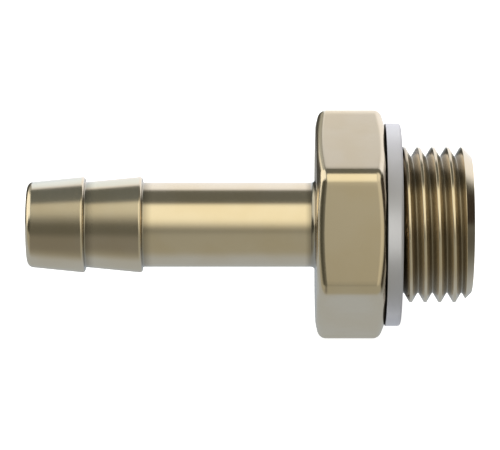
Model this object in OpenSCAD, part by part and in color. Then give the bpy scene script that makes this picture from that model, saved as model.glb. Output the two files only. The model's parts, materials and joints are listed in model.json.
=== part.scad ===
// Hose nipple: a turned, nickel-plated brass adaptor from a G 1/8 port to a small hose.
// Two pieces: the one-piece nipple, and the flat plastic ring that seals it against the port.
// The axis lies along X with the thread towards +X, and X = 0 is the ring's sealing face.
// One flat of the hexagon faces down, as the nipple comes to rest on a table.

/* [Port thread] */
// Major diameter of the parallel pipe thread
thread_d = 9.728; // [9.2:0.001:10.4]
// Pitch, 28 threads to the inch
thread_pitch = 0.907; // [0.8:0.001:1.2]
// Depth of the groove, from crest to root
thread_depth = 0.581; // [0.4:0.001:0.6]
// Angle between the two flanks of the groove, in degrees
thread_angle = 55; // [50:1:60]
// Width of the flat at the bottom of the groove
thread_root = 0.1; // [0.08:0.01:0.2]
// Length of thread that stands out of the sealing ring
thread_length = 4.45; // [3:0.05:8]
// Lead-in chamfer on the end of the thread
thread_chamfer = 0.6; // [0.3:0.05:0.7]
// Angle round the axis, from straight down, at which the groove crosses the ring's face
thread_start = 240; // [0:15:345]

/* [Hexagon] */
// Size across the flats
hex_across = 12.7; // [12:0.1:16]
// Length of the hexagon along the axis
hex_length = 4.3; // [3:0.1:8]
// Radius along the six long edges
hex_edge_r = 1.0; // [0.4:0.05:1.4]
// How far inside the flats the end chamfers start
hex_chamfer_inset = 0.15; // [0.1:0.05:0.6]
// Angle of the end chamfers to the end faces, in degrees
hex_chamfer_angle = 15; // [10:1:30]

/* [Hose tail] */
// Length of the tail, from its tip to the hexagon
tail_length = 18.05; // [12:0.05:30]
// Wall of the plain tube round the bore
tube_wall = 0.9; // [0.7:0.05:1.2]
// Radius of the fillet where the tube meets the hexagon
tube_fillet = 0.25; // [0.15:0.05:0.8]
// Number of barbs
barb_count = 2; // [1:1:3]
// Distance from one barb's crest to the next
barb_pitch = 3.6; // [2.5:0.05:3.9]
// Height of a barb's crest above the plain tube
barb_height = 0.35; // [0.25:0.01:0.6]
// Height above the plain tube at which a barb's cone starts
barb_start = 0.02; // [0.01:0.01:0.12]
// Width of the cylindrical land on a barb's crest
barb_land = 0.1; // [0.06:0.01:0.2]
// Radius of the edge between a barb's land and its back
barb_edge_r = 0.12; // [0.06:0.01:0.16]
// Distance along the axis that a barb's back leans over
barb_lean = 0.1; // [0.05:0.01:0.2]
// Radius of the tip's outer edge
tip_r = 0.35; // [0.1:0.05:0.4]

/* [Bore] */
// Diameter of the straight flow bore
bore_d = 3.5; // [2.5:0.1:5]
// Chamfer at both mouths of the bore
bore_chamfer = 0.2; // [0.1:0.05:0.3]

/* [Sealing ring] */
// Thickness of the ring
ring_thickness = 1.0; // [0.7:0.05:1.5]
// How far the ring's rim lies inside the hexagon's flats
ring_inset = 0; // [0:0.05:0.4]
// Radius of the ring's outer edge on the side of the port
ring_edge_r = 0.2; // [0.05:0.05:0.3]
// Width of the narrow gap round the rim, between the ring and the hexagon
ring_relief = 0.15; // [0.05:0.05:0.3]
// How far that gap reaches in from the rim
ring_relief_depth = 0.7; // [0.3:0.05:1]
// Gap all round between the ring and the crests of the thread
ring_clearance = 0.04; // [0.02:0.01:0.1]

/* [Hidden] */

$fn = 96;
steps_per_turn = 48;
cut_margin = 0.1;

nickel = [0.80, 0.73, 0.58];
ring_plastic = [0.86, 0.86, 0.88];

// Stations along the axis, back from the sealing face to the tip of the tail
x_ring = -ring_thickness;
x_hex = x_ring - hex_length;
x_tip = x_hex - tail_length;
x_end = thread_length;

// Radii, from the bore outwards
bore_r = bore_d / 2;
tube_r = bore_r + tube_wall;
barb_start_r = tube_r + barb_start;
barb_r = tube_r + barb_height;
thread_r = thread_d / 2;
thread_root_r = thread_r - thread_depth;
ring_bore_r = thread_r + ring_clearance;
hex_r = hex_across / 2;
ring_r = hex_r - ring_inset;

// The thread groove is cut to a little outside the crests, so that it opens cleanly
groove_top_r = thread_r + cut_margin;
flank_slope = tan(thread_angle / 2);

// Radius of the groove's floor: it rises out of the metal under the ring, which hides its start
function groove_floor(x) =
    let (risen_r = thread_r + cut_margin / 2, rise_length = 0.8 * ring_thickness)
    x >= 0 ? thread_root_r
    : min(risen_r, thread_root_r + (risen_r - thread_root_r) * -x / rise_length);

// Half width of the groove at its top, over a floor of radius floor_r
function groove_half_top(floor_r) = thread_root / 2 + (groove_top_r - floor_r) * flank_slope;

// One section of the groove, with its middle at x and turned by a round the axis
function groove_section(a, x) =
    let (floor_r = groove_floor(x), half_top = groove_half_top(floor_r), half_floor = thread_root / 2)
    [for (p = [[floor_r, -half_floor], [floor_r, half_floor],
               [groove_top_r, half_top], [groove_top_r, -half_top]])
        [p[0] * cos(a), p[0] * sin(a), x + p[1]]];

// Lays along X what is drawn along Z, so that the angle 0 points straight down
module along_x() {
    rotate([0, 90, 0]) children();
}

// Right-hand helical V groove, swept from under the ring to beyond the end of the thread
module thread_groove() {
    first = -floor((ring_thickness - groove_half_top(thread_r)) / thread_pitch * steps_per_turn);
    last = ceil((x_end / thread_pitch + 1) * steps_per_turn);
    count = last - first;
    points = [for (i = [first : last])
        each groove_section(thread_start + 360 * i / steps_per_turn,
                            thread_pitch * i / steps_per_turn)];
    sides = [for (i = [0 : count - 1], j = [0 : 3])
        let (a = 4 * i + j, b = 4 * i + (j + 1) % 4)
        each [[a, a + 4, b + 4], [a, b + 4, b]]];
    end = 4 * count;
    caps = [[0, 1, 2], [0, 2, 3], [end + 2, end + 1, end], [end + 3, end + 2, end]];
    polyhedron(points = points, faces = concat(sides, caps), convexity = 10);
}

// Shank that the thread is cut in, turned in one profile and chamfered at its free end
module thread_blank() {
    root = x_ring - cut_margin;
    rotate_extrude() polygon([
        [0, root], [thread_r, root],
        [thread_r, x_end - thread_chamfer], [thread_r - thread_chamfer, x_end], [0, x_end]]);
}

// Outline of the hexagon: three crossed bars, a filled middle and a round at each corner
module hexagon_outline() {
    corner = (hex_r - hex_edge_r) / cos(30);
    for (i = [0 : 2]) rotate(60 * i) square([hex_across, corner], center = true);
    rotate(30) circle(r = corner, $fn = 6);
    for (i = [0 : 5]) rotate(60 * i + 30) translate([corner, 0]) circle(r = hex_edge_r);
}

// Hexagon, with both ends turned to a shallow cone
module hexagon() {
    face_r = hex_r - hex_chamfer_inset;
    outer_r = hex_r / cos(30);
    drop = (outer_r - face_r) * tan(hex_chamfer_angle);
    translate([0, 0, x_hex]) intersection() {
        linear_extrude(height = hex_length) hexagon_outline();
        rotate_extrude() polygon([
            [0, 0], [face_r, 0], [outer_r, drop],
            [outer_r, hex_length - drop], [face_r, hex_length], [0, hex_length]]);
    }
}

// Half section of one barb: cone from start, narrow land, rounded edge and leaning back
module barb_section(start, crest) {
    edge = crest - barb_edge_r;
    polygon([
        [0, start], [barb_start_r, start], [barb_r, edge - barb_land], [barb_r, edge],
        [barb_r - barb_edge_r, crest], [tube_r - cut_margin, crest + barb_lean],
        [0, crest + barb_lean]]);
    translate([barb_r - barb_edge_r, edge]) circle(r = barb_edge_r);
}

// Half section of the tip, up to where the first barb's cone starts
module tip_section() {
    square([barb_start_r - tip_r, tip_r]);
    intersection() {
        translate([barb_start_r - tip_r, tip_r]) circle(r = tip_r);
        square([barb_start_r, tip_r]);
    }
}

// Half section of the concave corner between the tube and the hexagon
module fillet_section() {
    difference() {
        translate([0, tail_length - tube_fillet]) square([tube_r + tube_fillet, tube_fillet]);
        translate([tube_r + tube_fillet, tail_length - tube_fillet]) circle(r = tube_fillet);
    }
}

// Hose tail, turned in one profile: rounded tip, barbs, plain tube and fillet
module hose_tail() {
    translate([0, 0, x_tip]) rotate_extrude() {
        tip_section();
        for (i = [0 : barb_count - 1])
            barb_section(i == 0 ? tip_r : i * barb_pitch, (i + 1) * barb_pitch);
        translate([0, tip_r]) square([tube_r, tail_length - tip_r + cut_margin]);
        fillet_section();
    }
}

// Straight bore with a chamfer at each mouth
module flow_bore() {
    mouth_r = bore_r + bore_chamfer + cut_margin;
    mouth_h = bore_chamfer + cut_margin;
    translate([0, 0, x_tip - cut_margin]) cylinder(r = bore_r, h = x_end - x_tip + 2 * cut_margin);
    translate([0, 0, x_tip - cut_margin]) cylinder(r1 = mouth_r, r2 = bore_r, h = mouth_h);
    translate([0, 0, x_end - bore_chamfer]) cylinder(r1 = bore_r, r2 = mouth_r, h = mouth_h);
}

module nipple_body() {
    color(nickel) along_x() difference() {
        union() {
            hose_tail();
            hexagon();
            thread_blank();
        }
        flow_bore();
        thread_groove();
    }
}

// Half section of the ring: relieved round its rim on the hexagon's side, rounded on the other
module ring_section() {
    edge_r = ring_r - ring_edge_r;
    relief_r = ring_r - ring_relief_depth;
    rim = ring_thickness - ring_relief;
    translate([ring_bore_r, 0]) square([relief_r - ring_bore_r, ring_thickness]);
    translate([ring_bore_r, ring_relief]) square([edge_r - ring_bore_r, rim]);
    translate([ring_bore_r, ring_relief]) square([ring_r - ring_bore_r, rim - ring_edge_r]);
    translate([edge_r, ring_thickness - ring_edge_r]) circle(r = ring_edge_r);
}

// Flat sealing ring, slipped over the thread and lying against the hexagon
module sealing_ring() {
    color(ring_plastic) along_x() translate([0, 0, x_ring]) rotate_extrude() ring_section();
}

nipple_body();
sealing_ring();
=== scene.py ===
import json
from math import atan2, ceil, cos, degrees, hypot, pi, radians, sin, tan

import bpy
from mathutils import Matrix, Vector


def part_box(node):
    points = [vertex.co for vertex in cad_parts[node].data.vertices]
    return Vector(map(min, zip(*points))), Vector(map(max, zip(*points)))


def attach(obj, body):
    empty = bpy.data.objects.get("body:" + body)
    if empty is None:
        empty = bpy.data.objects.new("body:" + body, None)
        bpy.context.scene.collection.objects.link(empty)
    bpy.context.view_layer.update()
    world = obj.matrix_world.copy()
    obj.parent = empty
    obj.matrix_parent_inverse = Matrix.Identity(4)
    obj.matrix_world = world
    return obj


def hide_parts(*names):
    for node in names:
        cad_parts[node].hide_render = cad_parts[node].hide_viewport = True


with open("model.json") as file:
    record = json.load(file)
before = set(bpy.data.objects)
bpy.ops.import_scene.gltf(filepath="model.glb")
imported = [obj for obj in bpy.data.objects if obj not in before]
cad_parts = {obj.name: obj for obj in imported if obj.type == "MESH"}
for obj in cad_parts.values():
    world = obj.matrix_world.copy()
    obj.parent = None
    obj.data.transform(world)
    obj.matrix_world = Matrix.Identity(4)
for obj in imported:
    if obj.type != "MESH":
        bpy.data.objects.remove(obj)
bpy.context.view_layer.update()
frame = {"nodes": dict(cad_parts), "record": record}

mm = 0.001
mounts = {mount["name"]: mount for mount in frame["record"]["mounts"]}
bodyLow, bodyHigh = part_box("nipple_body")
ringLow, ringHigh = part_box("sealing_ring")
print("frame loaded:", sorted(frame["nodes"]))


# Node trees, written as Python expressions

layout = {"across": 200, "down": 180, "perColumn": 8}          # of the nodes in the editor


def operation(name, swapped=False):
    def method(self, *others):
        return self.graph.math(name, *(others + (self,) if swapped else (self,) + others))
    return method


class Wire:                                    # a socket that can be added, multiplied and compared
    def __init__(self, graph, socket):
        self.graph = graph
        self.socket = socket

    __add__ = operation("ADD")
    __radd__ = operation("ADD", swapped=True)
    __sub__ = operation("SUBTRACT")
    __rsub__ = operation("SUBTRACT", swapped=True)
    __mul__ = operation("MULTIPLY")
    __truediv__ = operation("DIVIDE")
    __gt__ = operation("GREATER_THAN")
    __abs__ = operation("ABSOLUTE")
    least = operation("MINIMUM")
    most = operation("MAXIMUM")
    softLeast = operation("SMOOTH_MIN")
    softMost = operation("SMOOTH_MAX")
    sine = operation("SINE")
    cosine = operation("COSINE")
    angleOver = operation("ARCTAN2")
    arcSine = operation("ARCSINE")
    floor = operation("FLOOR")
    fraction = operation("FRACT")
    root = operation("SQRT")
    sign = operation("SIGN")

    def rise(self, start, stop):               # 0 before start, 1 after stop, smooth in between
        limits = {"Value": self, "From Min": start, "From Max": stop}
        return self.graph.node("ShaderNodeMapRange", {"interpolation_type": "SMOOTHSTEP"}, limits)["Result"]

    def between(self, start, full, fade, stop):                 # 1 from full to fade
        return self.rise(start, full) * (1 - self.rise(fade, stop))


class Made:                                    # a node whose outputs are read by name
    def __init__(self, graph, made):
        self.graph = graph
        self.made = made

    def __getitem__(self, key):
        return Wire(self.graph, pick(self.made.outputs, key))


def pick(sockets, key):
    if isinstance(key, int):
        return sockets[key]
    return next(socket for socket in sockets if socket.name == key and socket.enabled)


class Graph:                                   # a node tree while it is being built
    def __init__(self, tree):
        self.tree = tree

    def node(self, kind, settings=None, sockets=None):
        made = self.tree.nodes.new(kind)
        count = len(self.tree.nodes)
        column, line = divmod(count, layout["perColumn"])
        made.location = (layout["across"] * column, -layout["down"] * line)
        for name, value in (settings or {}).items():
            setattr(made, name, value)
        for key, value in (sockets or {}).items():
            self.feed(pick(made.inputs, key), value)
        return Made(self, made)

    def feed(self, socket, value):
        if isinstance(value, Wire):
            self.tree.links.new(value.socket, socket)
        elif isinstance(value, tuple) and socket.type == "RGBA":
            socket.default_value = (*value, 1)
        else:
            socket.default_value = value

    def math(self, name, *values):
        return self.node("ShaderNodeMath", {"operation": name}, dict(enumerate(values)))["Value"]

    def blend(self, share, first, second):     # colours
        sockets = {"Factor": share, "A": first, "B": second}
        return self.node("ShaderNodeMix", {"data_type": "RGBA"}, sockets)["Result"]

    def split(self, vector):
        parts = self.node("ShaderNodeSeparateXYZ", {}, {"Vector": vector})
        return parts["X"], parts["Y"], parts["Z"]

    def join(self, x, y, z):
        return self.node("ShaderNodeCombineXYZ", {}, {"X": x, "Y": y, "Z": z})["Vector"]

    def dot(self, vector, axis):
        return self.node("ShaderNodeVectorMath", {"operation": "DOT_PRODUCT"}, {0: vector, 1: axis})["Value"]

    def noise(self, vector, values):
        return self.node("ShaderNodeTexNoise", {}, {"Vector": vector, **values})["Fac"]


# Geometry trees: one for each step of the machining

rowValues = ("end", "hexShare", "inset", "rise", "threaded")    # what each row of a half section carries


def startTree(name, inputs):
    tree = bpy.data.node_groups.new(name, "GeometryNodeTree")
    tree.is_modifier = True
    tree.interface.new_socket("Geometry", in_out="OUTPUT", socket_type="NodeSocketGeometry")
    tree.interface.new_socket("Geometry", in_out="INPUT", socket_type="NodeSocketGeometry")
    for label in inputs:
        tree.interface.new_socket(label, in_out="INPUT", socket_type="NodeSocketFloat")
    tree.interface.new_socket("Material", in_out="INPUT", socket_type="NodeSocketMaterial")
    graph = Graph(tree)
    return graph, graph.node("NodeGroupInput")


def endTree(graph, geometry, given):
    solid = graph.node("GeometryNodeRealizeInstances", {}, {"Geometry": geometry})["Geometry"]
    finish = {"Geometry": solid, "Material": given["Material"]}
    graph.node("NodeGroupOutput", {}, {0: graph.node("GeometryNodeSetMaterial", {}, finish)["Geometry"]})
    return graph.tree


def readValue(graph, name):
    return graph.node("GeometryNodeInputNamedAttribute", {"data_type": "FLOAT"}, {"Name": name})["Attribute"]


def storeValue(graph, geometry, name, value):
    sockets = {"Geometry": geometry, "Name": name, "Value": value}
    settings = {"data_type": "FLOAT", "domain": "POINT"}
    return graph.node("GeometryNodeStoreNamedAttribute", settings, sockets)["Geometry"]


def turningTree():                             # sweeps the half section round the X axis
    graph, given = startTree("turning", ["Columns"])
    profile = given["Geometry"]
    columns = given["Columns"]
    rows = graph.node("GeometryNodeAttributeDomainSize", {}, {"Geometry": profile})["Point Count"]
    geometry = graph.node("GeometryNodeMeshGrid", {}, {"Vertices X": rows, "Vertices Y": columns + 1})["Mesh"]
    index = graph.node("GeometryNodeInputIndex")["Index"]
    number = (index / (columns + 1)).floor()   # of the row
    angle = (index - number * (columns + 1)) / columns * (2 * pi)

    def fromRow(kind, value):
        sockets = {"Geometry": profile, "Value": value, "Index": number}
        return graph.node("GeometryNodeSampleIndex", {"data_type": kind}, sockets)["Value"]

    for name in rowValues:
        geometry = storeValue(graph, geometry, name, fromRow("FLOAT", readValue(graph, name)))
    x, _, radius = graph.split(fromRow("FLOAT_VECTOR", graph.node("GeometryNodeInputPosition")["Position"]))
    place = graph.join(x, radius * angle.sine(), 0 - radius * angle.cosine())
    move = {"Geometry": geometry, "Position": place}
    geometry = graph.node("GeometryNodeSetPosition", {}, move)["Geometry"]
    seam = {"Geometry": geometry, "Distance": section["seam"]}
    geometry = graph.node("GeometryNodeMergeByDistance", {}, seam)["Geometry"]
    geometry = graph.node("GeometryNodeFlipFaces", {}, {"Mesh": geometry})["Mesh"]
    geometry = graph.node("GeometryNodeSetShadeSmooth", {}, {"Geometry": geometry})["Geometry"]
    return endTree(graph, geometry, given)


def turnAt(graph, y, z):                       # share of a whole turn, from straight down
    return (y.angleOver(0 - z) / (2 * pi)).fraction()


def millingTree():                             # brings the rows between the end faces onto the hexagon
    graph, given = startTree("milling", [
        "Half across", "Edge radius", "Flat share", "Tail face", "Ring face",
        "Cone start", "Tail slope", "Ring slope", "Cone softness"])
    inset = readValue(graph, "inset")
    share = readValue(graph, "hexShare")
    end = readValue(graph, "end")
    x, y, z = graph.split(graph.node("GeometryNodeInputPosition")["Position"])
    sixth = turnAt(graph, y, z) * 6 + 0.5
    phase = sixth.fraction() - 0.5             # -0.5 and 0.5 at the corners, 0 in the middle of a flat
    side = sixth.floor() * (pi / 3)
    flatShare = given["Flat share"]
    flat = (abs(phase) / flatShare).least(1)
    bend = ((abs(phase) - flatShare) / (0.5 - flatShare)).most(0) * (pi / 6)
    middle = given["Half across"] - given["Edge radius"]
    edge = given["Edge radius"] - inset
    out = middle + edge * bend.cosine()
    along = phase.sign() * (middle * tan(pi / 6) * flat + edge * bend.sine())
    hexY = out * side.sine() + along * side.cosine()
    hexZ = along * side.sine() - out * side.cosine()
    newY = y + share * (hexY - y)
    newZ = z + share * (hexZ - z)
    radius = (newY * newY + newZ * newZ).root()
    tailEnd = end > 0
    slope = given["Ring slope"] + tailEnd * (given["Tail slope"] - given["Ring slope"])
    face = given["Ring face"] + tailEnd * (given["Tail face"] - given["Ring face"])
    cone = (radius - given["Cone start"]).softMost(0, given["Cone softness"]) * slope
    place = graph.join(face + end * (cone + readValue(graph, "rise")), newY, newZ)
    move = {"Geometry": given["Geometry"], "Selection": abs(end) > 0.5, "Position": place}
    return endTree(graph, graph.node("GeometryNodeSetPosition", {}, move)["Geometry"], given)


def threadingTree():                           # cuts the right-hand helical groove
    graph, given = startTree("threading", [
        "Pitch", "Root radius", "Root width", "Flank slope", "Start turn",
        "Run-out", "Run-out rise", "Last turn", "Last turn run-out", "Crest softness", "Root softness"])
    x, y, z = graph.split(graph.node("GeometryNodeInputPosition")["Position"])
    radius = (y * y + z * z).root()
    phase = (x / given["Pitch"] - turnAt(graph, y, z) + given["Start turn"] + 0.5).fraction() - 0.5
    away = abs(phase) * given["Pitch"] - given["Root width"] / 2
    beyond = (x - phase * given["Pitch"] - given["Last turn"]) / given["Last turn run-out"]
    lift = (0 - x / given["Run-out"]).most(beyond).most(0)
    bottom = given["Root radius"] + lift * given["Run-out rise"]
    groove = (bottom + away / given["Flank slope"]).softMost(bottom, given["Root softness"])
    scale = radius.softLeast(groove, given["Crest softness"]) / radius
    place = graph.join(x, y * scale, z * scale)
    cut = readValue(graph, "threaded") > 0.5
    move = {"Geometry": given["Geometry"], "Selection": cut, "Position": place}
    return endTree(graph, graph.node("GeometryNodeSetPosition", {}, move)["Geometry"], given)


# Half sections: rows of (x, radius) with what the later steps need to know of them

section = {
    "roundStep": radians(9),                   # between the rows of a round
    "leastSteps": 2,
    "guard": 0.03 * mm,                        # from a round to the row that keeps the flat beside it flat
    "seam": 0.0001 * mm,                       # points closer than this become one
}


def row(x, radius, **values):
    return {"x": x, "radius": radius, **values}


def roundCorners(corners):                     # each corner is (x, radius, rounding)
    guard = section["guard"]
    rows = [row(*corners[0][:2])]
    for before, corner, after in zip(corners, corners[1:], corners[2:]):
        here = Vector(corner[:2])
        back = Vector(before[:2]) - here
        ahead = Vector(after[:2]) - here
        turned = pi - back.angle(ahead)
        rounding = corner[2]
        reach = rounding * tan(turned / 2)
        first = here + back.normalized() * reach
        centreWay = (back.normalized() + ahead.normalized()).normalized()
        centre = here + centreWay * hypot(rounding, reach)
        startAngle = atan2(first.y - centre.y, first.x - centre.x)
        hand = 1 if back.normalized().cross(ahead.normalized()) < 0 else -1
        steps = max(section["leastSteps"], ceil(turned / section["roundStep"]))
        if back.length > reach + 2 * guard:
            rows.append(row(*(here + back.normalized() * (reach + guard))))
        for step in range(steps + 1):
            angle = startAngle + hand * turned * step / steps
            rows.append(row(centre.x + rounding * cos(angle), centre.y + rounding * sin(angle)))
        if ahead.length > reach + 2 * guard:
            rows.append(row(*(here + ahead.normalized() * (reach + guard))))
    rows.append(row(*corners[-1][:2]))
    return rows


def divide(rows, spacing):                     # adds rows so that none lie further apart than spacing
    finer = [rows[0]]
    for before, after in zip(rows, rows[1:]):
        parts = ceil(hypot(after["x"] - before["x"], after["radius"] - before["radius"]) / spacing)
        for part in range(1, parts + 1):
            share = part / parts
            finer.append({**after, **{
                key: before[key] + share * (after[key] - before[key]) for key in ("x", "radius")}})
    return finer


def machine(name, rows, steps):                # profile mesh, modifiers, plain mesh
    profile = bpy.data.meshes.new(name + "Profile")
    edges = [(i, i + 1) for i in range(len(rows) - 1)]
    profile.from_pydata([(r["x"], 0, r["radius"]) for r in rows], edges, [])
    for key in rowValues:
        column = profile.attributes.new(key, "FLOAT", "POINT")
        column.data.foreach_set("value", [float(r.get(key, 0)) for r in rows])
    blank = bpy.data.objects.new(name + "Blank", profile)
    bpy.context.scene.collection.objects.link(blank)
    for tree, values in steps:
        modifier = blank.modifiers.new(tree.name, "NODES")
        modifier.node_group = tree
        for item in tree.interface.items_tree:
            if item.in_out == "INPUT" and item.name in values:
                modifier[item.identifier] = values[item.name]
    evaluated = blank.evaluated_get(bpy.context.evaluated_depsgraph_get())
    mesh = bpy.data.meshes.new_from_object(evaluated)
    mesh.name = name
    for key in rowValues:
        mesh.attributes.remove(mesh.attributes[key])
    piece = bpy.data.objects.new(name, mesh)
    bpy.context.scene.collection.objects.link(piece)
    bpy.data.objects.remove(blank)
    bpy.data.meshes.remove(profile)
    print(name, "rows", len(rows), "vertices", len(mesh.vertices), "faces", len(mesh.polygons))
    return piece


# The nipple

nipple = {
    "columns": 216,
    "tipRadius": 2.65 * mm,
    "tipEdge": 0.4 * mm,
    "tubeRadius": 2.65 * mm,
    "tubeFillet": 0.3 * mm,
    "barbPitch": 3.6 * mm,
    "barbFoot": 2.67 * mm,                     # where the second barb's cone starts
    "barbPeak": 0.013 * mm,                    # rise of the unrounded crest above the rounded one
    "barbEdge": 0.16 * mm,
    "barbBase": 0.08 * mm,                     # fillet behind a barb
    "barbLean": 0.06 * mm,
    "mouthChamfer": 0.2 * mm,
    "sharpEdge": 0.05 * mm,                    # how far plating and tumbling round a sharp edge
    "hiddenRound": 0.02 * mm,                  # where the shank meets the hexagon, under the ring
    "faceMargin": 0.01 * mm,                   # rows this close to the hexagon's face aren't threaded
    "endRing": 0.5 * mm,                       # width of the outer strip of the threaded end face
    "threadSpacing": 0.022 * mm,               # between the rows of the thread
}

hexagon = {
    "length": 4.3 * mm,
    "edgeRadius": 1.0 * mm,
    "faceRadius": 5.6 * mm,                    # the end faces are round up to here
    "tailRound": 0.43 * mm,                    # between the flats and the end cones
    "ringRound": 0.38 * mm,
    "coneStart": 6.2 * mm,
    "tailSlope": tan(radians(13)),
    "ringSlope": tan(radians(17)),
    "coneSoftness": 0.15 * mm,
    "flatShare": 0.3,                          # of the columns on each side of a flat's middle
    "roundSteps": 9,
    "faceSteps": 7,
    "guardShare": 1.1,                         # of a round, to the row that keeps the flats flat
}

thread = {
    "pitch": 0.907 * mm,
    "depth": 0.585 * mm,
    "rootWidth": 0.06 * mm,
    "flankSlope": tan(radians(30.5)),
    "startTurn": 240 / 360,
    "endChamfer": 0.6 * mm,
    "runOut": 0.8 * mm,
    "runOutMargin": 0.1 * mm,                  # how far above the crests the groove's floor has risen
    "lastTurn": 0.5 * mm,                      # the groove starts to run out this far before the end
    "lastTurnRunOut": 0.3 * mm,
    "crestSoftness": 0.04 * mm,
    "rootSoftness": 0.04 * mm,
}


def tailRows(tip, face):
    barbRadius = mounts["hose_tail"]["dims"]["r_mm"] * mm
    boreRadius = mounts["flow_bore"]["dims"]["r_mm"] * mm
    middle = (boreRadius + nipple["mouthChamfer"] + nipple["tipRadius"]) / 2
    corners = [(tip, middle, 0), (tip, nipple["tipRadius"], nipple["tipEdge"])]
    for barb, foot in ((1, nipple["barbFoot"]), (2, nipple["tubeRadius"])):
        crest = tip + barb * nipple["barbPitch"]
        corners += [
            (crest, barbRadius + nipple["barbPeak"], nipple["barbEdge"]),
            (crest + nipple["barbLean"], foot, nipple["barbBase"])]
    corners += [(face, nipple["tubeRadius"], nipple["tubeFillet"]), (face, hexagon["faceRadius"], 0)]
    return roundCorners(corners)


def hexagonRows(tailFace, ringFace):
    half = bodyHigh.z
    rows = []
    for end, face, rounding in ((1, tailFace, hexagon["tailRound"]), (-1, ringFace, hexagon["ringRound"])):
        flank = []
        for step in range(1, hexagon["faceSteps"] + 1):
            share = step / hexagon["faceSteps"]
            radius = hexagon["faceRadius"] + share * (half - rounding - hexagon["faceRadius"])
            flank.append(row(face, radius, end=end, hexShare=share, inset=rounding))
        for step in range(1, hexagon["roundSteps"] + 1):
            angle = pi / 2 * (1 - step / hexagon["roundSteps"])
            inset = rounding * (1 - cos(angle))
            rise = rounding * (1 - sin(angle))
            flank.append(row(face + end * rise, half - inset, end=end, hexShare=1, inset=inset, rise=rise))
        guard = rounding * hexagon["guardShare"]
        flank.append(row(face + end * guard, half, end=end, hexShare=1, rise=guard))
        rows += flank if end > 0 else reversed(flank)
    return rows


def shankRows(face, end, tip):
    crest = mounts["port_thread"]["dims"]["r_mm"] * mm
    boreRadius = mounts["flow_bore"]["dims"]["r_mm"] * mm
    mouth = boreRadius + nipple["mouthChamfer"]
    chamfer = thread["endChamfer"]
    sharp = nipple["sharpEdge"]
    outside = roundCorners([
        (face, hexagon["faceRadius"], 0), (face, crest, nipple["hiddenRound"]), (end - chamfer, crest, sharp),
        (end, crest - chamfer, sharp), (end, mouth, 0)])[1:-1]
    threadedFrom = face + nipple["faceMargin"]
    hidden = [r for r in outside if r["x"] <= threadedFrom]
    threaded = [r for r in outside if r["x"] > threadedFrom and r["radius"] > crest - chamfer - sharp]
    for r in threaded:
        r["threaded"] = 1
    rest = [r for r in outside if r["x"] > threadedFrom and r not in threaded]
    inside = roundCorners([
        (end, crest - chamfer - nipple["endRing"], 0), (end, mouth, sharp),
        (end - nipple["mouthChamfer"], boreRadius, sharp), (tip + nipple["mouthChamfer"], boreRadius, sharp),
        (tip, mouth, sharp), (tip, (mouth + nipple["tipRadius"]) / 2, 0)])
    return hidden + divide(threaded, nipple["threadSpacing"]) + rest[:1] + inside


def makeNipple(turning, milling, threading, material):
    tip, end = bodyLow.x, bodyHigh.x
    ringFace = ringLow.x                       # the hexagon's face that the ring lies against
    tailFace = ringFace - hexagon["length"]
    crest = mounts["port_thread"]["dims"]["r_mm"] * mm
    rows = tailRows(tip, tailFace) + hexagonRows(tailFace, ringFace) + shankRows(ringFace, end, tip)
    return machine("nippleBody", rows, [
        (turning, {"Columns": float(nipple["columns"]), "Material": material}),
        (milling, {
            "Half across": bodyHigh.z,
            "Edge radius": hexagon["edgeRadius"],
            "Flat share": hexagon["flatShare"],
            "Tail face": tailFace,
            "Ring face": ringFace,
            "Cone start": hexagon["coneStart"],
            "Tail slope": hexagon["tailSlope"],
            "Ring slope": hexagon["ringSlope"],
            "Cone softness": hexagon["coneSoftness"],
            "Material": material}),
        (threading, {
            "Pitch": thread["pitch"],
            "Root radius": crest - thread["depth"],
            "Root width": thread["rootWidth"],
            "Flank slope": thread["flankSlope"],
            "Start turn": thread["startTurn"],
            "Run-out": thread["runOut"],
            "Run-out rise": thread["depth"] + thread["runOutMargin"],
            "Last turn": end - thread["lastTurn"],
            "Last turn run-out": thread["lastTurnRunOut"],
            "Crest softness": thread["crestSoftness"],
            "Root softness": thread["rootSoftness"],
            "Material": material})])


# The sealing ring

ring = {
    "columns": 216,
    "rimRound": 0.2 * mm,
    "edgeRound": 0.04 * mm,
    "relief": 0.035 * mm,                      # width of the gap between the rim and the hexagon
    "reliefDepth": 0.7 * mm,                   # how far it reaches in from the rim
    "reliefRound": 0.015 * mm,
    "clearance": 0.04 * mm,                    # round the crests of the thread
}


def makeRing(turning, material):
    bore = mounts["port_thread"]["dims"]["r_mm"] * mm + ring["clearance"]
    rim = ringHigh.z
    middle = (ringLow.x + ringHigh.x) / 2
    edge = ring["edgeRound"]
    seat = rim - ring["reliefDepth"]
    relieved = ringLow.x + ring["relief"]
    step = ring["reliefRound"]
    rows = roundCorners([
        (middle, bore, 0), (ringLow.x, bore, edge), (ringLow.x, seat, step), (relieved, seat, step),
        (relieved, rim, edge), (ringHigh.x, rim, ring["rimRound"]), (ringHigh.x, bore, edge),
        (middle, bore, 0)])
    return machine("sealingRing", rows, [
        (turning, {"Columns": float(ring["columns"]), "Material": material})])


# Finishes

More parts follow.
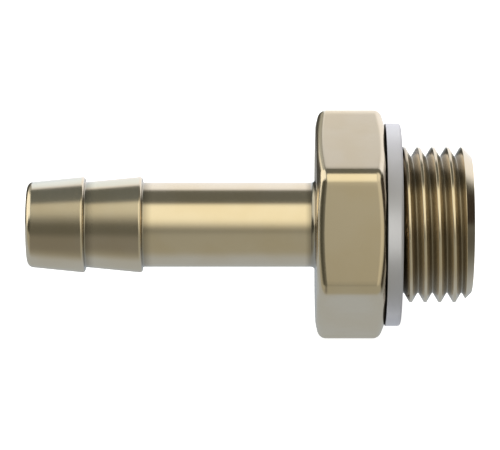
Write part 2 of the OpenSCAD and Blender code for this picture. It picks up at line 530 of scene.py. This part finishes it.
plate = {
    "warm": (0.81, 0.685, 0.50),
    "pale": (0.83, 0.715, 0.545),
    "groove": (0.43, 0.375, 0.29),             # painted shade in the grooves, darkest in the roots of the thread
    "gap": (0.10, 0.08, 0.06),                 # painted shade in the gap beside the ring and on the thread next to it
    "corner": (0.85, 0.77, 0.63),              # paler, a painted highlight behind the barbs and where the tube meets the hexagon
    "shade": (0.10, 0.08, 0.055),              # painted shade: the dark reflection of the barb or the hexagon, painted beside the tube
    "shadeShare": 0.5,
    "roughness": 0.18,
    "marksRoughness": 0.05,
    "cloudRoughness": 0.03,
    "grooveRoughness": 0.08,                   # added in the grooves of the thread
    "markDepth": 0.0002 * mm,
    "turned": {"Scale": 14.0, "Detail": 3.0},  # rings left by the lathe tool
    "drawn": {"Scale": 9.0, "Detail": 3.0},    # lines along the drawn hexagon bar
    "drawnStretch": 6,
    "cloud": {"Scale": 0.35, "Detail": 2.0},
    "cloudLimits": (0.35, 0.65),
}

tints = {                                      # where each mark and each painted shade or highlight lies: (start, full) or (start, full, fade, stop)
    "flats": (5.9 * mm, 6.2 * mm),             # radius
    "thread": (3.6 * mm, 3.9 * mm),            # radius
    "threadStart": (-0.1 * mm, 0),
    "threadEnd": (-0.08 * mm, -0.03 * mm),     # from the threaded end face
    "groove": (0, 0.7),                        # share of the groove's depth, for the painted shade
    "grooveRoughness": (0, 0.3),
    "gap": (-0.06 * mm, -0.02 * mm),           # painted shade, from the hexagon's face under the ring
    "gapFade": 0.1 * mm,
    "nearRing": (0.05 * mm, 0.45 * mm),
    "hexagonCorner": (-0.4 * mm, -0.2 * mm, 0, 0.2 * mm),      # painted highlight, from the hexagon's face
    "hexagonShade": (-0.72 * mm, -0.22 * mm, 0, 0.2 * mm),
    "cornerRadius": (3.1 * mm, 3.5 * mm),
    "shadeRadius": (2.9 * mm, 3.3 * mm),
    "barbCorner": (-0.02 * mm, 0.02 * mm, 0.12 * mm, 0.2 * mm),    # painted highlight, from the barb's crest
    "barbShade": (-0.02 * mm, 0.02 * mm, 0, 0.75 * mm),
}


def startMaterial(name):
    material = bpy.data.materials.new(name)
    material.use_nodes = True
    material.node_tree.nodes.clear()
    return material, Graph(material.node_tree)


def platedMetal():
    material, graph = startMaterial("nickelPlate")
    x, y, z = graph.split(graph.node("ShaderNodeTexCoord")["Object"])
    radius = (y * y + z * z).root()
    turned = graph.noise(graph.join(x / mm, radius / mm, 0), plate["turned"])
    drawn = graph.noise(graph.join(x / (plate["drawnStretch"] * mm), y / mm, z / mm), plate["drawn"])
    marks = turned + radius.rise(*tints["flats"]) * (drawn - turned)
    cloud = graph.noise(graph.join(x / mm, y / mm, z / mm), plate["cloud"])
    colour = graph.blend(cloud.rise(*plate["cloudLimits"]), plate["warm"], plate["pale"])

    crest = mounts["port_thread"]["dims"]["r_mm"] * mm
    outline = (bodyHigh.x + crest - thread["endChamfer"] - x).least(crest)
    depth = (outline - radius) / thread["depth"]
    onThread = radius.rise(*tints["thread"]) * x.rise(*tints["threadStart"])
    onThread = onThread * (1 - (x - bodyHigh.x).rise(*tints["threadEnd"]))
    # painted shade: the grooves of the thread are darker towards their roots
    colour = graph.blend(onThread * depth.rise(*tints["groove"]), colour, plate["groove"])

    # painted shade in the gap under the ring and on the thread beside it
    underRing = 1 - x.rise(ringLow.x + tints["gapFade"], ringHigh.x)
    gapShade = (x - ringLow.x).rise(*tints["gap"]) * underRing
    nearRing = onThread * (1 - x.rise(*tints["nearRing"]))
    colour = graph.blend(gapShade.most(nearRing), colour, plate["gap"])

    past = x - (ringLow.x - hexagon["length"])                 # the hexagon's face on the side of the tail
    # painted highlight: a paler tint in the concave corners behind the barbs and before the hexagon
    cornerHighlight = past.between(*tints["hexagonCorner"]) * (1 - radius.rise(*tints["cornerRadius"]))
    # painted shade: the dark reflection of the barbs and the hexagon, painted on the tube beside them
    shaded = past.between(*tints["hexagonShade"]) * (1 - radius.rise(*tints["shadeRadius"]))
    for barb in (1, 2):
        behind = x - (bodyLow.x + barb * nipple["barbPitch"])
        cornerHighlight = cornerHighlight.most(behind.between(*tints["barbCorner"]))
        shaded = shaded.most(behind.between(*tints["barbShade"]))
    colour = graph.blend(cornerHighlight, colour, plate["corner"])
    # the painted shade goes over the painted highlight
    colour = graph.blend(shaded * plate["shadeShare"], colour, plate["shade"])

    roughness = plate["roughness"] + (marks - 0.5) * plate["marksRoughness"]
    roughness = roughness + (cloud - 0.5) * plate["cloudRoughness"]
    roughness = roughness + onThread * depth.rise(*tints["grooveRoughness"]) * plate["grooveRoughness"]
    bump = graph.node("ShaderNodeBump", {}, {
        "Strength": 1.0, "Distance": plate["markDepth"], "Height": marks})["Normal"]
    shader = graph.node("ShaderNodeBsdfPrincipled", {}, {
        "Base Color": colour, "Metallic": 1.0, "Roughness": roughness, "Normal": bump})["BSDF"]
    graph.node("ShaderNodeOutputMaterial", {}, {"Surface": shader})
    return material


plastic = {
    "colour": (0.575, 0.575, 0.64),
    "shade": (0.55, 0.55, 0.62),
    # painted shade on the ring's wall in the gap beside the hexagon
    "gap": (0.03, 0.03, 0.03),
    "gapFade": 0.03 * mm,
    "roughness": 0.4,
    "grainRoughness": 0.1,
    "grainDepth": 0.0006 * mm,
    "grain": {"Scale": 6.0, "Detail": 4.0},
    "cloud": {"Scale": 0.4, "Detail": 1.0},
    "cloudLimits": (0.3, 0.7),
}


def mouldedPlastic():
    material, graph = startMaterial("ringPlastic")
    x, y, z = graph.split(graph.node("ShaderNodeTexCoord")["Object"])
    place = graph.join(x / mm, y / mm, z / mm)
    grain = graph.noise(place, plastic["grain"])
    cloud = graph.noise(place, plastic["cloud"])
    bump = graph.node("ShaderNodeBump", {}, {
        "Strength": 1.0, "Distance": plastic["grainDepth"], "Height": grain})["Normal"]
    colour = graph.blend(cloud.rise(*plastic["cloudLimits"]), plastic["colour"], plastic["shade"])
    relieved = ringLow.x + ring["relief"]
    # painted shade in the ring's relief beside the hexagon
    colour = graph.blend(1 - x.rise(relieved, relieved + plastic["gapFade"]), colour, plastic["gap"])
    roughness = plastic["roughness"] + (grain - 0.5) * plastic["grainRoughness"]
    shader = graph.node("ShaderNodeBsdfPrincipled", {}, {
        "Base Color": colour, "Roughness": roughness, "Normal": bump})["BSDF"]
    graph.node("ShaderNodeOutputMaterial", {}, {"Surface": shader})
    return material


# Studio: camera, floor, backdrop and the lights that the metal mirrors

view = {
    "elevation": radians(35),
    "distance": 206.9 * mm,
    "lens": 237.6,
    "from": -8.27 * mm,                        # where along the axis the camera stands
    "at": -9.4 * mm,                           # and where it looks
    "below": 0.025 * mm,                       # how far below the axis it looks
    "sensor": 36,
    "clipStart": 0.001,
    "clipEnd": 10,
}

studio = {
    "ambient": (0.14, 0.145, 0.13),
    # Each light or dark card: height above the camera's line and sideways, in degrees, as (start, full,
    # fade, stop). To the left, its lower edge rises by the slant for each degree.
    "lights": [
        {"name": "backdrop", "height": (103, 116, 400, 401), "side": (-18, -8, 45, 60), "slant": 0,
         "colour": (1.05, 1.08, 1.15)},
        {"name": "floorBehind", "height": (-401, -400, -90, -60), "side": (-91, -90, 26, 72), "slant": 0,
         "colour": (0.43, 0.475, 0.52)},
        {"name": "backdropLeft", "height": (113, 123, 400, 401), "side": (-16, -8, -7, -3), "slant": 0,
         "colour": (0.96, 1.12, 1.30)},
        {"name": "behindTop", "height": (172, 177, 400, 401), "side": (-20, -10, 4, 14), "slant": 0,
         "colour": (0.36, 0.37, 0.37)},
        {"name": "floorFront", "height": (-112, -72, -30, -6), "side": (-91, -90, 90, 91), "slant": 0,
         "colour": (0.38, 0.38, 0.32)},
        {"name": "floorShade", "height": (-105, -62, 0, 10), "side": (-40, -20, -12, 0), "slant": 0,
         "colour": (0.205, 0.20, 0.175)},
        {"name": "floorLine", "height": (-40, -18, 0, 10), "side": (-40, -20, -12, 0), "slant": 0,
         "colour": (0.12, 0.12, 0.10)},
        {"name": "leftFront", "height": (14, 30, 104, 112), "side": (-60, -40, -12, -3), "slant": 0,
         "colour": (0.13, 0.145, 0.14)},
        {"name": "frontBox", "height": (-24, 14, 51, 64), "side": (-22, -4, 14, 24), "slant": 1.75,
         "colour": (1.12, 1.08, 0.86)},
        {"name": "leftWall", "height": (104, 112, 130, 144), "side": (-44, -36, -22, -10), "slant": 0,
         "colour": (0.44, 0.46, 0.44)},
        {"name": "leftBox", "height": (86, 110, 128, 140), "side": (-91, -90, -38, -30), "slant": -1.3,
         "colour": (1.25, 1.22, 1.06)},
        {"name": "leftGlow", "height": (10, 34, 98, 110), "side": (-62, -48, -27, -18), "slant": 0,
         "colour": (1.15, 1.15, 1.04)},
        {"name": "leftShade", "height": (-34, -18, 6, 20), "side": (-72, -58, -34, -20), "slant": 0,
         "colour": (0.06, 0.06, 0.045)},
        {"name": "behindLeft", "height": (140, 154, 400, 401), "side": (-54, -44, -12, -5), "slant": 0,
         "colour": (0.07, 0.07, 0.065)},
        {"name": "rightFront", "height": (-30, -14, 60, 76), "side": (6, 16, 50, 60), "slant": 0,
         "colour": (0.62, 0.59, 0.48)},
        {"name": "rightBox", "height": (-10, 30, 60, 76), "side": (14, 24, 50, 60), "slant": 0,
         "colour": (0.9, 0.86, 0.7)},
        {"name": "rightShade", "height": (-125, -100, 400, 401), "side": (54, 68, 90, 91), "slant": 0,
         "colour": (0.035, 0.028, 0.022)},
    ],
    "fills": {110: 0.8, -5: 0.03, -130: 0.5},  # degrees above the camera's line, and watts
    "fillSize": 0.15,                          # metres, as are the next size and the distance
    "ringFill": -9,                            # degrees above the camera's line
    "ringFillPower": 1.8,
    "ringFillSize": 0.26,
    "fillDistance": 0.3,
    "fillColour": (0.98, 0.97, 0.95),
}


def towardsCamera():
    return Vector((0, -cos(view["elevation"]), sin(view["elevation"])))


def aboveCamera():
    return Vector((0, sin(view["elevation"]), cos(view["elevation"])))


def placeCamera():
    data = bpy.data.cameras.new("camera")
    data.lens = view["lens"]
    data.sensor_width = view["sensor"]
    data.clip_start = view["clipStart"]
    data.clip_end = view["clipEnd"]
    camera = bpy.data.objects.new("camera", data)
    bpy.context.scene.collection.objects.link(camera)
    bpy.context.scene.camera = camera
    target = Vector((view["at"], 0, 0)) - aboveCamera() * view["below"]
    camera.location = Vector((view["from"], 0, 0)) + towardsCamera() * view["distance"]
    backward = (camera.location - target).normalized()
    upward = backward.cross(Vector((1, 0, 0))).normalized()       # the axis stays level in the picture
    turn = Matrix((upward.cross(backward), upward, backward)).transposed()
    camera.rotation_euler = turn.to_euler()


def lightStudio():
    world = bpy.data.worlds.new("studio")
    world.use_nodes = True
    world.node_tree.nodes.clear()
    bpy.context.scene.world = world
    graph = Graph(world.node_tree)
    way = graph.node("ShaderNodeTexCoord")["Generated"]
    x, _, _ = graph.split(way)
    up = graph.dot(way, tuple(aboveCamera()))
    front = graph.dot(way, tuple(towardsCamera()))
    height = up.angleOver(front) * degrees(1)
    side = x.arcSine() * degrees(1)
    light = studio["ambient"]
    for lamp in studio["lights"]:
        low, lowFull, highFull, high = lamp["height"]
        left, leftFull, rightFull, right = lamp["side"]
        lowEdge = (height + side.least(0) * lamp["slant"]).rise(low, lowFull)
        mask = lowEdge * (1 - height.rise(highFull, high))
        mask = mask * side.between(left, leftFull, rightFull, right)
        light = graph.blend(mask, light, lamp["colour"])
    shine = graph.node("ShaderNodeBackground", {}, {"Color": light, "Strength": 1.0})["Background"]
    graph.node("ShaderNodeOutputWorld", {}, {"Surface": shine})


def hangLight(name, angle, power, size):
    data = bpy.data.lights.new(name, "AREA")
    data.size = size
    data.energy = power
    data.color = studio["fillColour"]
    lamp = bpy.data.objects.new(name, data)
    way = towardsCamera() * cos(radians(angle)) + aboveCamera() * sin(radians(angle))
    lamp.location = way * studio["fillDistance"]
    lamp.rotation_euler = way.to_track_quat("Z", "Y").to_euler()
    bpy.context.scene.collection.objects.link(lamp)
    return lamp


def fillShadows():                             # soft lights that the metal doesn't mirror
    for angle, power in studio["fills"].items():
        hangLight("fill", angle, power, studio["fillSize"]).visible_glossy = False


def shineOnRing(seal):                         # a light in front that only the satin ring mirrors
    lamp = hangLight("ringFill", studio["ringFill"], studio["ringFillPower"], studio["ringFillSize"])
    lamp.visible_diffuse = False
    lit = bpy.data.collections.new("ringOnly")
    lit.objects.link(seal)
    lamp.light_linking.receiver_collection = lit


floor = {
    "size": 3.0,
    "glow": 0.9,
    "colour": (0.55, 0.55, 0.55),
}

backdrop = {
    "segments": 48,
    "rings": 24,
    "glow": 1.0,
    "colour": (0.0, 0.0, 0.0),
}


def paleMaterial(name, glow, colour):
    material, graph = startMaterial(name)
    glowing = graph.node("ShaderNodeEmission", {}, {"Color": (1.0, 1.0, 1.0), "Strength": glow})["Emission"]
    matt = graph.node("ShaderNodeBsdfDiffuse", {}, {"Color": colour})["BSDF"]
    both = graph.node("ShaderNodeAddShader", {}, {0: glowing, 1: matt})["Shader"]
    graph.node("ShaderNodeOutputMaterial", {}, {"Surface": both})
    return material


def seenOnlyByCamera(piece):
    piece.visible_diffuse = False
    piece.visible_glossy = False
    piece.visible_transmission = False
    piece.visible_volume_scatter = False
    piece.visible_shadow = False


def layFloor():
    half = floor["size"] / 2
    level = bodyLow.z
    mesh = bpy.data.meshes.new("floor")
    corners = [(-half, -half, level), (half, -half, level), (half, half, level), (-half, half, level)]
    mesh.from_pydata(corners, [], [(0, 1, 2, 3)])
    mesh.materials.append(paleMaterial("paleFloor", floor["glow"], floor["colour"]))
    ground = bpy.data.objects.new("floor", mesh)
    bpy.ops.mesh.primitive_uv_sphere_add(
        segments=backdrop["segments"], ring_count=backdrop["rings"], radius=half)
    dome = bpy.context.object
    dome.name = "backdrop"
    dome.data.materials.append(paleMaterial("paleBackdrop", backdrop["glow"], backdrop["colour"]))
    bpy.context.scene.collection.objects.link(ground)
    for piece in (ground, dome):
        seenOnlyByCamera(piece)


# Building

placeCamera()
lightStudio()
fillShadows()
layFloor()
print("studio ready")

turning = turningTree()
milling = millingTree()
threading = threadingTree()
body = makeNipple(turning, milling, threading, platedMetal())
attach(body, "root")
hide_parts("nipple_body")

seal = makeRing(turning, mouldedPlastic())
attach(seal, "root")
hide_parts("sealing_ring")
shineOnRing(seal)
print("pieces ready")

bpy.context.scene.view_settings.view_transform = "Standard"
